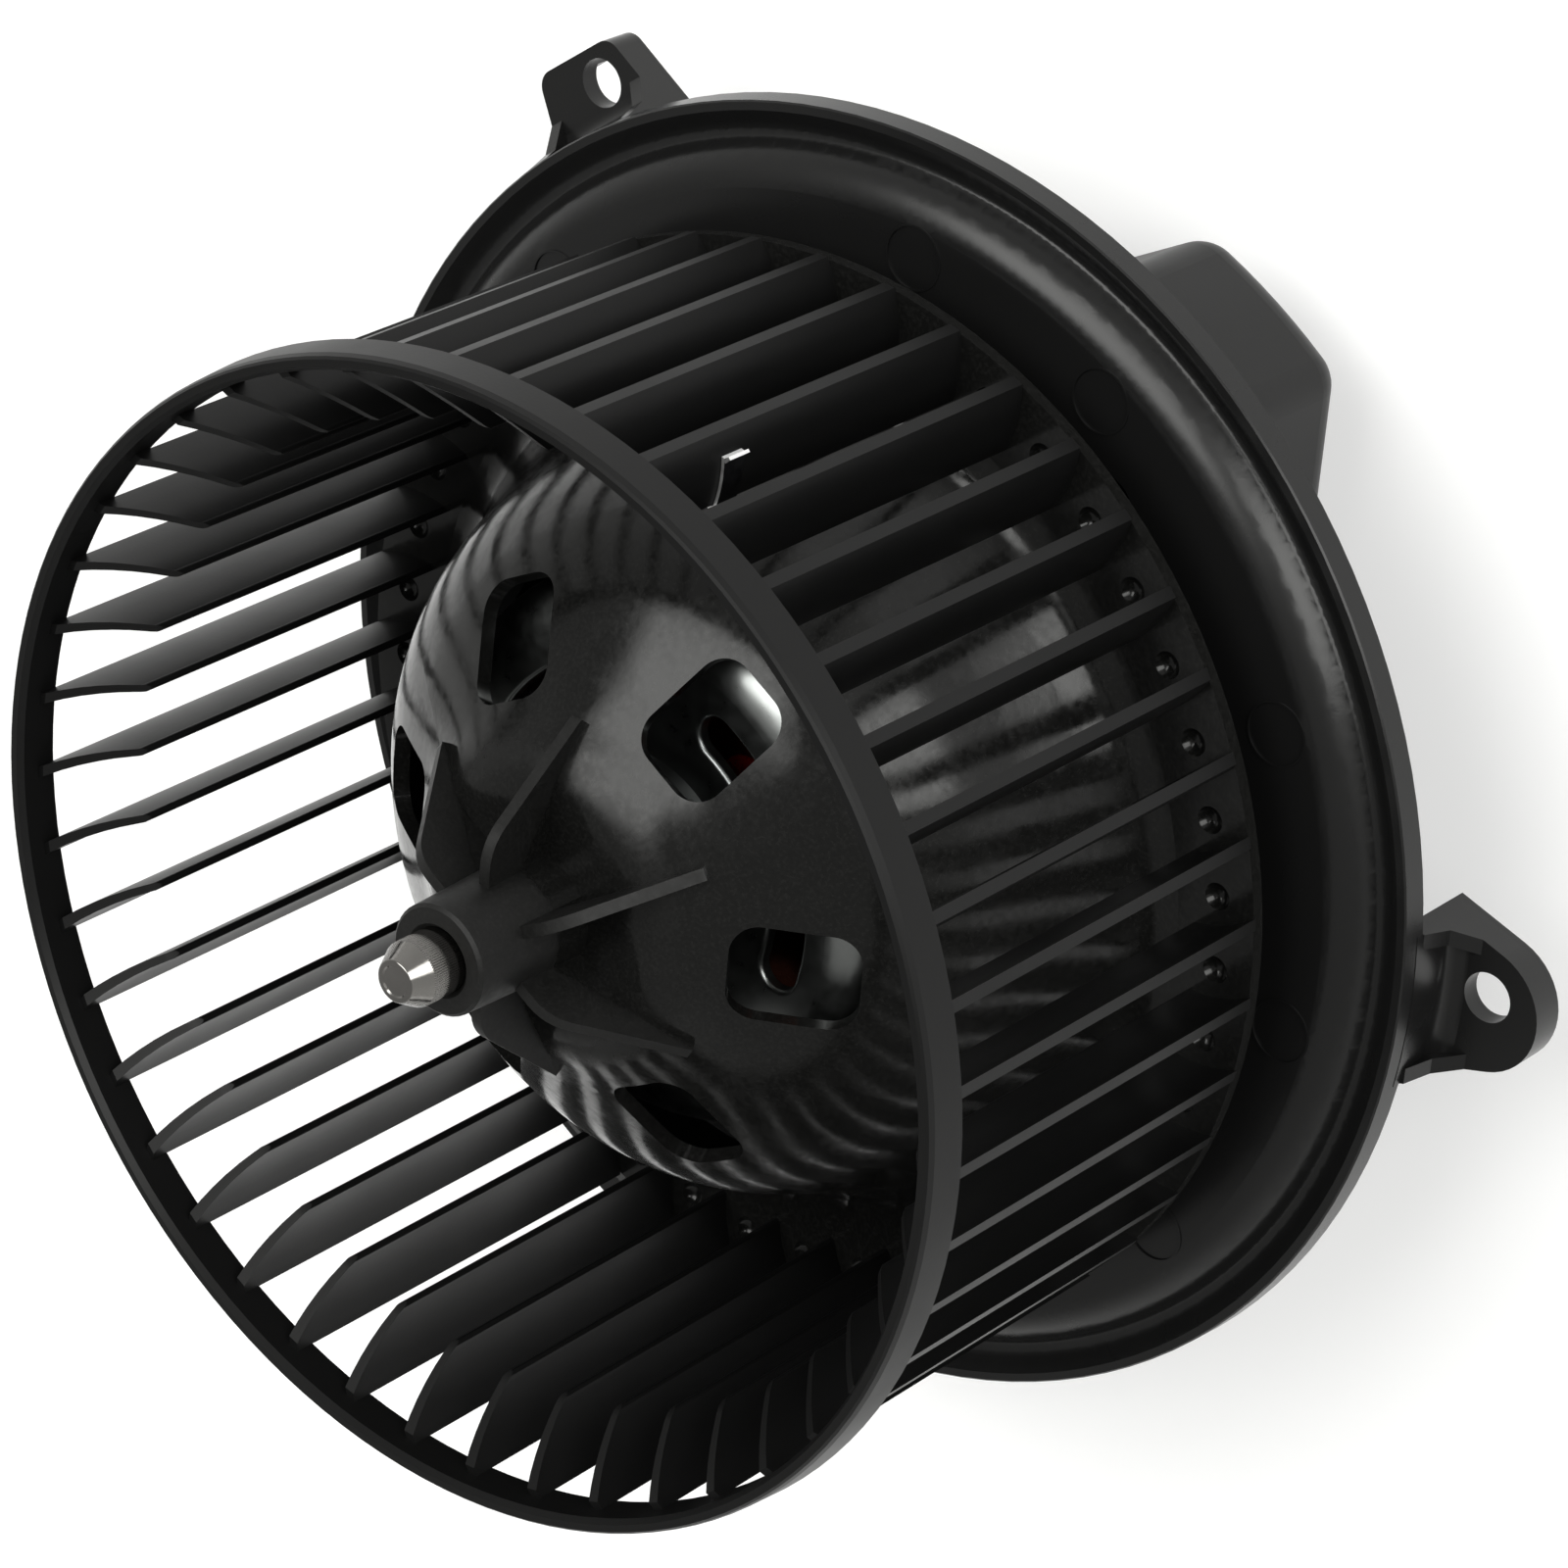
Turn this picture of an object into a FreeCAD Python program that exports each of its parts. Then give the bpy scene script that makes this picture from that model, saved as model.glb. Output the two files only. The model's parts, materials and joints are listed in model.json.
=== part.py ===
import FreeCAD, Part
import math
import os

# Car-heater blower: squirrel-cage wheel on a brushed DC motor in a flange housing.
# Millimetres. The fan axis is Z, the wheel is on the +Z side, and z = 0 is the front edge
# of the flange's outer lip. Azimuths are in degrees from +X towards +Y.

V = FreeCAD.Vector
Z = V(0, 0, 1)

# ---- driving dimensions -------------------------------------------------------------------

# wheel
RIM_R_FRONT = 70.0          # outer radius of the rim band at its front edge
RIM_R_BACK = 70.6
RIM_Z = (66.5, 72.0)
BLADE_COUNT = 43
BLADE_TIP_R = 68.3
BLADE_ROOT_R = 59.5
BLADE_PHASE = 105.0         # azimuth of one blade's outer edge
BLADE_LEAN = 2.35           # the root lags the tip by this angle
BLADE_BOW = 0.72            # height of the blade's curve over its chord
BLADE_T_TIP = 1.35
BLADE_T_ROOT = 1.0
BLADE_TOP_TIP = 69.0        # the front edge slopes from this height at the tip ...
BLADE_TOP_ROOT = 60.4       # ... to this height at the root
CLIP_BLADE = 21             # the balance clip sits on this blade, counted from the first
CLIP_Z = (49.0, 52.3)
CLIP_REACH = 65.8
CLIP_LIP = (0.55, 30.0)     # length and flare angle of each lip
CLIP_SHEET = 0.4
CLIP_GAP = 0.06
PLATE_R = 68.0
PLATE_Z = (8.9, 10.6)
PLATE_PIN_R = 63.0          # moulding pin marks, one between each two blades
PLATE_PIN_BALL = (1.75, 0.55)   # ball radius, and its centre's height over the plate
HUB_WALL = 2.0
HUB_PROFILE = [(13.0, 55.3), (22.5, 50.7), (30.4, 45.4), (38.0, 39.8), (43.8, 32.0),
               (47.0, 24.0), (50.4, 16.0), (57.5, PLATE_Z[1])]
BOSS_R = 6.8
BOSS_TOP = 72.5
WINDOW_PHASE = 25.5
WINDOW_COUNT = 6
WINDOW_R = (23.5, 36.2)     # radii of its inner and outer edge
WINDOW_Z = (49.8, 41.3)     # heights of the dome at those radii
WINDOW_W = 12.0
WINDOW_CORNER = 3.6
HUB_RIB_T = 1.5
HUB_RIB_BEND = 6.0
HUB_RIB = [(5.0, 65.3), (12.2, 65.3), (23.5, 51.2), (22.5, 49.8), (13.0, 54.2), (5.0, 54.2)]

# shaft
SHAFT_R = 4.0
SHAFT_TIP = 79.4
SHAFT_END = -28.2
SHAFT_FLAT_R = 2.55         # outer radius of the tip's end face
SHAFT_DISH = (1.95, 0.18)   # radius and depth of the recess in that face
KNURL_Z = (62.0, 76.8)
KNURL_TEETH = 90
KNURL_FLUTE = (0.13, 0.05)  # radius of a flute, and how far outside the surface its centre is
PRESS_GAP = 0.02
RUN_GAP = 0.03

# motor can and its end plate
CAN_R = 34.5
CAN_WALL = 1.6
CAN_Z = (-20.0, 38.0)
CAN_SHOULDER = 6.5
CAN_STEP_R = 14.5
CAN_STEP_H = 1.3
CAN_BOSS_R = 9.6
CAN_BOSS_TOP = 45.5
VENT_R = (19.7, 24.8)
VENT_HALF = 45.5
VENT_PHASE = 230.5
VENT_COUNT = 3
VENT_EDGE_R = 0.6           # the vents' outer edges are drawn in a little
BUSH_R = 8.0
BELL_Z = (-21.6, -20.0)
BELL_BOSS_R = 9.6
BELL_BOSS_END = -30.5

# armature
CORE_R = 26.3
CORE_Z = (0.0, 24.0)
CORE_SLOTS = 12
MAGNET_R = (27.0, 32.8)
MAGNET_Z = (-4.0, 30.0)
MAGNET_SPAN = 132.0
COMM_R = 11.0
COMM_HUB_R = 7.0
COMM_Z = (-18.6, -9.5)
COMM_BARS = 12

# brush gear
CARD_Z = (-19.9, -18.9)
CARD_R = 32.4
BRUSH_Y = 6.0
BRUSH_Z = (-17.7, -11.5)
BRUSH_X = (11.35, 20.0)
HOLDER_X = (13.0, 27.5)
HOLDER_WALL = 0.6
HOLDER_GAP = 0.1
SPRING_WIRE = 0.4
SPRING_R = 2.2
SPRING_TURNS = 5

# flange housing
LIP_R = 81.4
LIP_IN_R = 79.9
SKIRT_R = 81.6
SKIRT_Z = -3.2
LIP_IN_Z = -0.25
LIP_IN_SLOPE = 37.0
GROOVE_R = 77.1
GROOVE_Z = -1.9
SHOULDER = ((75.1, 0.35, 40.0), (76.1, -0.95, 60.0))    # radius, height and fall angle
DECK_R = 71.4               # outer edge of the flat deck, where the shoulder starts
DECK_Z = 2.0
DECK_T = 2.4
COLLAR_R = (37.2, 39.6)
COLLAR_Z = (-12.0, 20.0)
DECK_MARK = (3.8, 0.12)     # radius and depth of an ejector mark on the deck
DECK_FLASH = (0.22, 0.12)   # width and height of the thin burr round it
DECK_MARK_CIRCLE = 67.8
DECK_MARK_ANGLES = (19.0, 55.0, 92.0, 130.0, 168.0, 199.0, 230.5, 267.0, 292.0, 342.0)
EAR_HOLE_CIRCLE = 87.0
EAR_HOLE_R = 3.1
EAR_FRONT = -9.5
EAR_BACK = -14.0
EAR_PLATE_T = 2.5
EAR_WALL = 1.9
EAR_BASE = 76.0             # the ears' plates start here, inside the skirt
EAR_END_R = 8.0
EAR_END_X = 85.95           # centre of the round end
EAR_FLARE = 17.2            # each side opens by this angle towards the flange
EAR_BLEND = 2.4             # hollow fillet between the ear's face and the skirt
SQUARE_EAR_END = 91.5
SQUARE_EAR_CORNER = 2.5
SQUARE_EAR_LOW = (-4.15, 19.7)   # offset at the end and flare of one side ...
SQUARE_EAR_HIGH = (9.5, 12.8)    # ... and of the other
EAR_SIDE_ANGLE = 26.05      # the two front ears lie this far below the X axis
BACK_RIBS = 12

# rear cover
CUP_R = (38.7, 41.0)
CUP_Z = -34.0
CUP_FLOOR = 2.5
CUP_EDGE_R = 5.0
COVER_FLANGE_R = 50.0
COVER_FLANGE_Z = (-3.3, -0.7)
COVER_SCREW_R = 45.8
COVER_SCREW_ANGLES = (35.0, 145.0, 215.0, 325.0)
DUCT_ANGLE = -94.0
DUCT_BASE = 34.0
DUCT_END = 77.0             # radius of the end wall, bowed about the fan axis
DUCT_SHOULDER = 60.0        # the sides run straight to here, then close in
DUCT_HALF = 20.4            # half width up to the shoulder
DUCT_TAPER = 30.0
DUCT_CORNER = 5.2
DUCT_BOTTOM_R = 5.0
DUCT_Z = (-26.0, -5.2)
DUCT_WALL = 2.0
DUCT_INLET = (51.0, 62.0)
DUCT_INLET_HALF = 10.0

# connector
SOCKET_Z = -22.0
SOCKET_SIZE = (24.0, 16.0)
SOCKET_Y = (35.0, 58.0)
SOCKET_WALL = 2.0
TERMINAL = (6.3, 0.8)
TERMINAL_X = 5.2


# ---- helpers ------------------------------------------------------------------------------

def polar(r, angle, z=0.0):
    a = math.radians(angle)
    return V(r * math.cos(a), r * math.sin(a), z)


def turned(shape, angle):
    s = shape.copy()
    s.rotate(V(0, 0, 0), Z, angle)
    return s


def ring_of(shape, count, phase=0.0):
    return [turned(shape, phase + 360.0 * k / count) for k in range(count)]


def face_from(points):
    """Closed polygon in the XZ plane from (radius, height) pairs."""
    pts = [V(r, 0, z) for r, z in points]
    return Part.Face(Part.makePolygon(pts + [pts[0]]))


def revolve(points, angle=360.0, start=0.0):
    s = face_from(points).revolve(V(0, 0, 0), Z, angle)
    return turned(s, start) if start else s


def tube(r_in, r_out, z0, z1, angle=360.0, start=0.0):
    return revolve([(r_in, z0), (r_out, z0), (r_out, z1), (r_in, z1)], angle, start)


def disc(r, z0, z1, x=0.0, y=0.0):
    return Part.makeCylinder(r, z1 - z0, V(x, y, z0), Z)


def block(x0, x1, y0, y1, z0, z1):
    return Part.makeBox(x1 - x0, y1 - y0, z1 - z0, V(x0, y0, z0))


def prism(points, z0, z1):
    """Polygon in the XY plane, extruded from z0 to z1."""
    pts = [V(x, y, z0) for x, y in points]
    return Part.Face(Part.makePolygon(pts + [pts[0]])).extrude(V(0, 0, z1 - z0))


def fillet_upright(shape, radius, test=lambda p: True):
    """Fillet the straight edges that run along Z and whose midpoint passes the test."""
    edges = []
    for e in shape.Edges:
        a, b = e.Vertexes[0].Point, e.Vertexes[-1].Point
        if (a - b).Length > 1e-6 and abs(abs((a - b).normalize().z) - 1) < 1e-6:
            if test((e.Vertexes[0].Point + e.Vertexes[-1].Point) * 0.5):
                edges.append(e)
    return shape.makeFillet(radius, edges)


def fuse(shapes):
    shapes = list(shapes)
    return shapes[0].fuse(shapes[1:]).removeSplitter()


def cut(shape, tools):
    return shape.cut(Part.makeCompound(list(tools)))


def save(name, shape):
    solids = shape.Solids
    out = solids[0] if len(solids) == 1 else Part.makeCompound(solids)
    bad = [s for s in solids if not s.isValid() or s.Volume <= 0]
    print(f"{name}: {len(solids)} solids, {out.Volume:.0f} mm3, {len(bad)} bad")
    out.exportStep(f"parts/{name}.step")


# ---- wheel --------------------------------------------------------------------------------

def hub_curves():
    """The dome's outer line and the inner line one wall inside it."""
    outer = Part.BSplineCurve()
    outer.interpolate(Points=[V(r, 0, z) for r, z in HUB_PROFILE],
                      InitialTangent=V(1, 0, 0), FinalTangent=V(1, 0, 0))
    inner_points = []
    for r, z in HUB_PROFILE:
        t = outer.tangent(outer.parameter(V(r, 0, z)))[0]
        inner_points.append(V(r + t.z * HUB_WALL, 0, z - abs(t.x) * HUB_WALL))
    inner_points[0].z = HUB_PROFILE[0][1] - HUB_WALL
    inner_points[-1].z = PLATE_Z[0]
    inner = Part.BSplineCurve()
    inner.interpolate(Points=inner_points, InitialTangent=V(1, 0, 0), FinalTangent=V(1, 0, 0))
    return outer.toShape(), inner.toShape(), inner_points


def hub_shell():
    outer, inner, inner_points = hub_curves()
    top = V(HUB_PROFILE[0][0], 0, HUB_PROFILE[0][1])
    foot = V(HUB_PROFILE[-1][0], 0, HUB_PROFILE[-1][1])
    bore = SHAFT_R + PRESS_GAP
    chain = [top, V(BOSS_R + 0.5, 0, top.z), V(BOSS_R, 0, BOSS_TOP - 0.4),
             V(BOSS_R - 0.4, 0, BOSS_TOP), V(bore + 0.5, 0, BOSS_TOP),
             V(bore, 0, BOSS_TOP - 0.5), V(bore, 0, inner_points[0].z - 3.0),
             V(BOSS_R + 0.6, 0, inner_points[0].z - 3.0), V(BOSS_R + 0.8, 0, inner_points[0].z),
             inner_points[0]]
    edges = [Part.makeLine(a, b) for a, b in zip(chain, chain[1:])]
    edges.append(inner)
    chain = [inner_points[-1], V(PLATE_R, 0, PLATE_Z[0]), V(PLATE_R, 0, PLATE_Z[1]), foot]
    edges += [Part.makeLine(a, b) for a, b in zip(chain, chain[1:])]
    edges.append(outer)
    wire = Part.Wire(Part.__sortEdges__(edges))
    return Part.Face(wire).revolve(V(0, 0, 0), Z, 360)


def hub_window():
    """Rounded-rectangle cutter, square to the dome's slope."""
    dr, dz = WINDOW_R[1] - WINDOW_R[0], WINDOW_Z[1] - WINDOW_Z[0]
    length = math.hypot(dr, dz)
    depth = 16.0
    s = block(-length / 2, length / 2, -WINDOW_W / 2, WINDOW_W / 2, -depth / 2, depth / 2)
    s = fillet_upright(s, WINDOW_CORNER)
    s.rotate(V(0, 0, 0), V(0, 1, 0), math.degrees(math.atan2(-dz, dr)))
    s.translate(V(sum(WINDOW_R) / 2, 0, sum(WINDOW_Z) / 2))
    return s


def fan_hub():
    rib = face_from(HUB_RIB).extrude(V(0, HUB_RIB_T, 0))
    rib.translate(V(0, -HUB_RIB_T / 2, 0))
    bend_r, bend_z = HUB_RIB[1]
    rib = rib.makeFillet(HUB_RIB_BEND, [e for e in rib.Edges
                                        if abs(e.BoundBox.XMin - bend_r) < 0.01
                                        and abs(e.BoundBox.ZMin - bend_z) < 0.01
                                        and e.BoundBox.YLength > HUB_RIB_T - 0.01])
    bore = disc(SHAFT_R + PRESS_GAP, 0, BOSS_TOP + 1)
    ribs = [r.cut(bore) for r in ring_of(rib, WINDOW_COUNT, WINDOW_PHASE + 30)]
    s = cut(hub_shell(), ring_of(hub_window(), WINDOW_COUNT, WINDOW_PHASE))
    s = fuse([s] + ribs)
    r, lift = PLATE_PIN_BALL
    pin = Part.makeSphere(r, V(PLATE_PIN_R, 0, PLATE_Z[1] + lift))
    gap_phase = BLADE_PHASE - BLADE_LEAN + 180.0 / BLADE_COUNT
    return cut(s, ring_of(pin, BLADE_COUNT, gap_phase))


def blade_section(grow=0.0):
    """Curved strip from root to tip, thicker at the tip, with a round nose at the root."""
    half_tip = BLADE_T_TIP / 2 + grow
    half_root = BLADE_T_ROOT / 2 + grow
    tip = polar(BLADE_TIP_R + 0.8, BLADE_PHASE + 0.35)
    root = polar(BLADE_ROOT_R + 0.5, BLADE_PHASE - BLADE_LEAN)
    along = (tip - root).normalize()
    side = V(-along.y, along.x, 0)
    mid = (tip + root) * 0.5 - side * BLADE_BOW
    nose = root - along * half_root

    def line(sign):
        return (tip + side * sign * half_tip, mid + side * sign * (half_tip + half_root) / 2,
                root + side * sign * half_root)

    a, b = line(1), line(-1)
    edges = [Part.Arc(*a).toShape(), Part.Arc(a[2], nose, b[2]).toShape(),
             Part.Arc(b[2], b[1], b[0]).toShape(), Part.makeLine(b[0], a[0])]
    return Part.Face(Part.Wire(edges))


def blade():
    section = blade_section()
    section.translate(V(0, 0, PLATE_Z[1]))
    bar = section.extrude(V(0, 0, BLADE_TOP_TIP - PLATE_Z[1] + 1))
    inner = BLADE_ROOT_R - 0.4
    low = V(inner, 0, BLADE_TOP_ROOT - 2.4)
    bend = V(inner + 0.45, 0, BLADE_TOP_ROOT - 0.9)
    high = V(inner + 1.4, 0, BLADE_TOP_ROOT + 0.6)
    corners = [high, V(BLADE_TIP_R - 0.9, 0, BLADE_TOP_TIP), V(BLADE_TIP_R, 0, BLADE_TOP_TIP),
               V(BLADE_TIP_R, 0, PLATE_Z[1]), V(inner, 0, PLATE_Z[1]), low]
    edges = [Part.makeLine(a, b) for a, b in zip(corners, corners[1:])]
    edges.append(Part.Arc(low, bend, high).toShape())
    envelope = Part.Face(Part.Wire(edges)).revolve(V(0, 0, 0), Z, 20)
    return bar.common(turned(envelope, BLADE_PHASE - 10))


def fan_blades():
    return Part.makeCompound(ring_of(blade(), BLADE_COUNT))


def fan_rim():
    low, high = RIM_Z
    return revolve([(BLADE_TIP_R, low), (RIM_R_BACK - 0.3, low), (RIM_R_BACK, low + 0.3),
                    (RIM_R_FRONT + 0.25, high - 1.0), (RIM_R_FRONT, high - 0.3),
                    (RIM_R_FRONT - 0.3, high), (BLADE_TIP_R + 0.5, high),
                    (BLADE_TIP_R, high - 0.8)])


def balance_clip():
    """Spring-steel clip that hugs the root of one blade, with two flared lips."""
    low, high = CLIP_Z
    inner = blade_section(CLIP_GAP)
    outer = blade_section(CLIP_GAP + CLIP_SHEET)
    for section in (inner, outer):
        section.translate(V(0, 0, low))
    clear = inner.extrude(V(0, 0, high - low))
    hug = outer.extrude(V(0, 0, high - low)).common(disc(CLIP_REACH, low, high))
    pieces = [hug]
    angle = BLADE_PHASE - 1.62
    length, flare = CLIP_LIP
    for sign in (-1, 1):
        off = (BLADE_T_TIP + BLADE_T_ROOT) / 4 + CLIP_GAP + CLIP_SHEET / 2
        start = off + 0.1 * sign
        lip = block(CLIP_REACH - 0.35, CLIP_REACH + length, -CLIP_SHEET / 2, CLIP_SHEET / 2,
                    low, high)
        lip.rotate(V(CLIP_REACH - 0.35, 0, 0), Z, sign * flare)
        lip.translate(V(0, sign * start, 0))
        pieces.append(turned(lip, angle))
    return turned(fuse(pieces).cut(clear), 360.0 * CLIP_BLADE / BLADE_COUNT)


# ---- shaft and armature -------------------------------------------------------------------

def shaft():
    s = revolve([(0, SHAFT_END), (SHAFT_R - 0.6, SHAFT_END), (SHAFT_R, SHAFT_END + 0.6),
                 (SHAFT_R, KNURL_Z[1]), (SHAFT_FLAT_R, SHAFT_TIP), (0, SHAFT_TIP)])
    s = s.makeFillet(0.3, [e for e in s.Edges if e.BoundBox.ZMin > SHAFT_TIP - 0.01
                           and e.BoundBox.ZLength < 0.01 and e.BoundBox.XLength > 1])
    r, depth = SHAFT_DISH
    dish = Part.makeCone(r - depth, r, depth, V(0, 0, SHAFT_TIP - depth), Z)
    flute_r, out = KNURL_FLUTE
    flute = disc(flute_r, KNURL_Z[0], KNURL_Z[1] + 0.5, SHAFT_R + out)
    return cut(s, ring_of(flute, KNURL_TEETH) + [dish])


def armature_core():
    """Laminated iron stack: T-shaped teeth between half-closed slots."""
    low, high = CORE_Z
    s = disc(CORE_R, low, high)
    slot = fuse([disc(2.9, low - 1, high + 1, 20.6), disc(2.1, low - 1, high + 1, 16.2),
                 block(16.2, 20.6, -2.2, 2.2, low - 1, high + 1),
                 block(20.6, CORE_R + 1, -0.9, 0.9, low - 1, high + 1)])
    return cut(s, ring_of(slot, CORE_SLOTS) + [disc(SHAFT_R, low - 1, high + 1)])


def windings():
    """Enamelled coils: bars that fill the slots, joined by rounded end turns."""
    low, high = CORE_Z
    bars = fuse([disc(2.5, low - 1, high + 1, 20.4), disc(1.8, low - 1, high + 1, 16.4),
                 block(16.4, 20.4, -1.9, 1.9, low - 1, high + 1)])
    ends = []
    for z, up in ((high, 1), (low, -1)):
        pts = [(9.0, z + up * 0.4), (23.6, z + up * 0.4), (24.2, z + up * 2.6),
               (21.6, z + up * 5.2), (14.5, z + up * 6.6), (9.0, z + up * 5.6)]
        ends.append(revolve(pts))
    return fuse(ends + ring_of(bars, CORE_SLOTS))


def commutator_hub():
    low, high = COMM_Z
    return tube(SHAFT_R, COMM_HUB_R, low, high + 1.2)


def commutator_bars():
    low, high = COMM_Z
    pitch = 360.0 / COMM_BARS
    bar = revolve([(COMM_HUB_R, low + 0.4), (COMM_R, low + 0.4), (COMM_R, high - 1.4),
                   (COMM_R + 1.4, high - 1.0), (COMM_R + 1.4, high), (COMM_HUB_R, high)],
                  pitch - 2.4, 1.2)
    return Part.makeCompound(ring_of(bar, COMM_BARS))


def thrust_washers():
    """Steel and fibre washers that take up end play at both bushes."""
    front = [tube(SHAFT_R + 0.1, 6.6, z, z + 0.7) for z in (34.0, 34.8)]
    rear = [tube(SHAFT_R + 0.1, 6.2, z, z + 0.6) for z in (-20.15, -19.45)]
    return Part.makeCompound(front + rear)


# ---- motor stator -------------------------------------------------------------------------

def motor_can():
    low, high = CAN_Z
    outer = revolve([(0, low), (CAN_R, low), (CAN_R, high), (0, high)])
    outer = outer.makeFillet(CAN_SHOULDER, [e for e in outer.Edges
                                            if abs(e.BoundBox.ZMin - high) < 1e-6
                                            and e.BoundBox.XMax > CAN_R - 1e-3])
    step = revolve([(0, high - 1), (CAN_STEP_R, high - 1), (CAN_STEP_R - 0.8, high + CAN_STEP_H),
                    (0, high + CAN_STEP_H)])
    boss = disc(CAN_BOSS_R, high - 1, CAN_BOSS_TOP)
    boss = boss.makeFillet(1.2, [e for e in boss.Edges if e.BoundBox.ZMin > CAN_BOSS_TOP - 0.01])
    body = fuse([outer, step, boss])
    inside_r = CAN_R - CAN_WALL
    hollow = revolve([(0, low - 1), (inside_r, low - 1), (inside_r, high - CAN_WALL),
                      (0, high - CAN_WALL)])
    hollow = hollow.makeFillet(CAN_SHOULDER - CAN_WALL,
                               [e for e in hollow.Edges
                                if abs(e.BoundBox.ZMin - (high - CAN_WALL)) < 1e-6
                                and e.BoundBox.XMax > inside_r - 1e-3])
    seat = disc(BUSH_R, high - 4, CAN_BOSS_TOP - 1.2)
    hole = disc(SHAFT_R + 0.8, high, CAN_BOSS_TOP + 1)
    mid_r = sum(VENT_R) / 2
    end_r = (VENT_R[1] - VENT_R[0]) / 2
    inset = math.degrees(end_r / mid_r)
    vent = fuse([tube(VENT_R[0], VENT_R[1], high - 4, high + 4, 2 * (VENT_HALF - inset),
                      -VENT_HALF + inset)]
                + [turned(disc(end_r, high - 4, high + 4, mid_r), a)
                   for a in (VENT_HALF - inset, inset - VENT_HALF)])
    can = cut(body, [hollow, seat, hole] + ring_of(vent, VENT_COUNT, VENT_PHASE))
    rims = [e for e in can.Edges if abs(e.BoundBox.ZMin - high) < 1e-6 and e.BoundBox.ZLength < 1e-6
            and min(math.hypot(v.X, v.Y) for v in e.Vertexes) > VENT_R[0] - 0.01
            and max(math.hypot(v.X, v.Y) for v in e.Vertexes) < VENT_R[1] + 0.01]
    return can.makeFillet(VENT_EDGE_R, rims)


def end_bell():
    low, high = BELL_Z
    plate = disc(CAN_R, low, high)
    boss = disc(BELL_BOSS_R, BELL_BOSS_END, low + 0.5)
    boss = boss.makeFillet(1.0, [e for e in boss.Edges if e.BoundBox.ZMax < BELL_BOSS_END + 0.01])
    seat = disc(BUSH_R, BELL_BOSS_END + 1.4, high + 1)
    vent = tube(16.0, 24.0, low - 1, high + 1, 34, -17)
    return cut(fuse([plate, boss]), [seat] + ring_of(vent, 4, 45))


def bush(z0, z1):
    s = tube(SHAFT_R + RUN_GAP, BUSH_R, z0, z1)
    rim = [e for e in s.Edges if e.BoundBox.XMax > BUSH_R - 0.01 and e.BoundBox.ZLength < 1e-6]
    return s.makeChamfer(0.6, rim)


def bush_retainer(z0):
    """Dished spring washer with a toothed inner edge that grips behind the bush."""
    ring = tube(8.8, 12.8, z0, z0 + 0.5)
    teeth = ring_of(block(7.0, 9.2, -1.2, 1.2, z0, z0 + 0.5), 6)
    return fuse([ring] + teeth)


def magnet():
    low, high = MAGNET_Z
    return tube(MAGNET_R[0], MAGNET_R[1], low, high, MAGNET_SPAN, -MAGNET_SPAN / 2)


def magnet_springs():
    """Two U-shaped clips in the gaps between the magnets."""
    low, high = MAGNET_Z
    half = 90.0 - MAGNET_SPAN / 2 - 1.5
    back = tube(MAGNET_R[1] - 0.9, MAGNET_R[1] - 0.1, low + 4, high - 4, 2 * half, -half)
    legs = [turned(block(27.6, MAGNET_R[1] - 0.3, -0.4, 0.4, low + 4, high - 4), s * (half - 1))
            for s in (-1, 1)]
    clip = fuse([back] + legs)
    return Part.makeCompound([turned(clip, 90), turned(clip, 270)])


# ---- brush gear ---------------------------------------------------------------------------

def brush_card():
    low, high = CARD_Z
    s = tube(COMM_R + 2.2, CARD_R, low, high)
    notch = block(19.0, 24.0, -4.5, 4.5, low - 1, high + 1)
    return cut(s, ring_of(notch, 2, 90))


def brush_holder():
    """Folded brass box, open towards the commutator, with a stop tab behind the spring."""
    x0, x1 = HOLDER_X
    y = BRUSH_Y / 2 + HOLDER_GAP
    z0, z1 = BRUSH_Z[0] - HOLDER_GAP, BRUSH_Z[1] + HOLDER_GAP
    w = HOLDER_WALL
    outer = block(x0, x1, -y - w, y + w, z0 - w, z1 + w)
    inner = block(x0 - 1, x1 - w, -y, y, z0, z1)
    slot = block(x0 + 2.5, x1 - 3.5, -0.8, 0.8, z1 - 0.1, z1 + w + 0.1)
    feet = [block(x0 + 4, x0 + 7, s * (y + w) - 1.4, s * (y + w) + 1.4, CARD_Z[1], z0)
            for s in (-1, 1)]
    return fuse([cut(outer, [inner, slot])] + feet)


def brush():
    x0, x1 = BRUSH_X
    s = block(x0 - 0.8, x1, -BRUSH_Y / 2, BRUSH_Y / 2, BRUSH_Z[0], BRUSH_Z[1])
    return s.cut(disc(COMM_R + 0.35, BRUSH_Z[0] - 1, BRUSH_Z[1] + 1))


def brush_spring():
    """Eight-sided-wire compression coil between the brush's back and the holder's tab."""
    x0 = BRUSH_X[1] + SPRING_WIRE
    x1 = HOLDER_X[1] - HOLDER_WALL - SPRING_WIRE
    pitch = (x1 - x0) / SPRING_TURNS
    helix = Part.makeHelix(pitch, x1 - x0, SPRING_R)
    path = helix.Edges[0]
    start = path.valueAt(path.FirstParameter)
    radial = V(start.x, start.y, 0).normalize()
    side = path.tangentAt(path.FirstParameter).cross(radial)
    turns = [math.pi * (k + 0.5) / 4 for k in range(8)]
    corners = [start + (radial * math.cos(t) + side * math.sin(t)) * (SPRING_WIRE / 2)
               for t in turns]
    section = Part.makePolygon(corners + [corners[0]])
    coil = Part.Wire(helix).makePipeShell([section], True, True)
    coil.rotate(V(0, 0, 0), V(0, 1, 0), 90)
    coil.translate(V(x0, 0, sum(BRUSH_Z) / 2))
    return coil


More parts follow.
